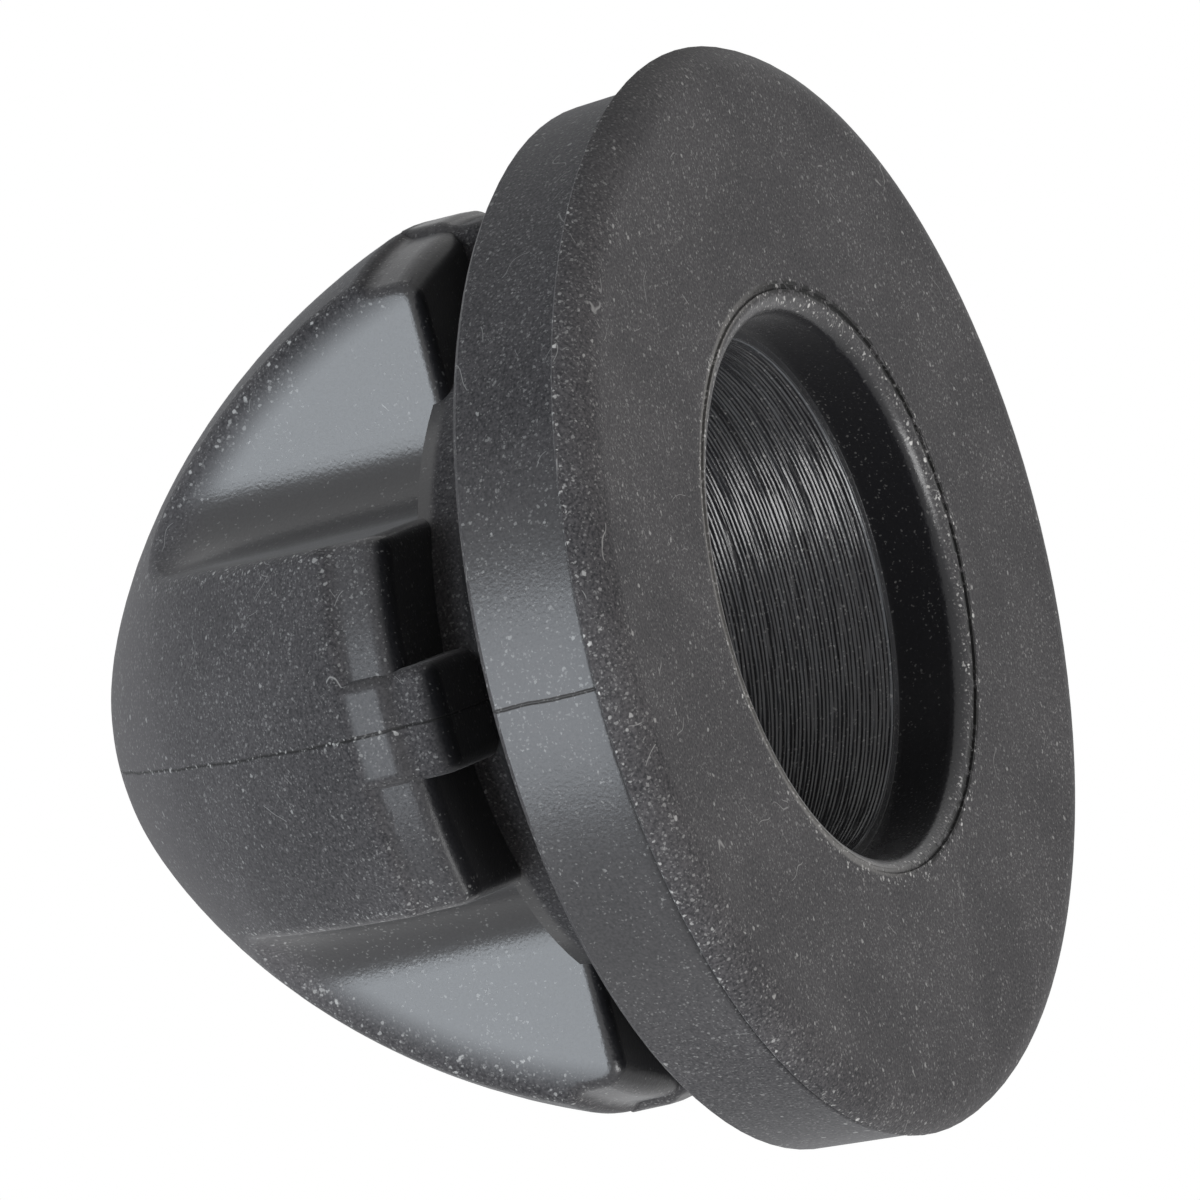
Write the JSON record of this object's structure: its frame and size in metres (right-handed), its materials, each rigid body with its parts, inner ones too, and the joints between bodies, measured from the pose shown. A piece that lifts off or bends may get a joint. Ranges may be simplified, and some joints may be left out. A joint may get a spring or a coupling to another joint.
{
  "type": "rubber bushing",
  "caption": "Flanged rubber bushing with a blind bore in its face and a ribbed, domed nose that pushes through a panel hole and grips the panel in a groove.",
  "frame": {"origin": "centre of the flange face, in the plane of the bore's mouth, which is the ground plane", "axes": "+Z along the bushing's axis from the flange face to the tip of the nose; the ribs lie along X and Y; the bore opens towards -Z"},
  "size_m": [0.022, 0.022, 0.0159],
  "materials": {
    "rubber": "matt moulded black, dusty"
  },
  "bodies": {
    "root": {"bushing": "rubber"}
  },
  "joints": []
}
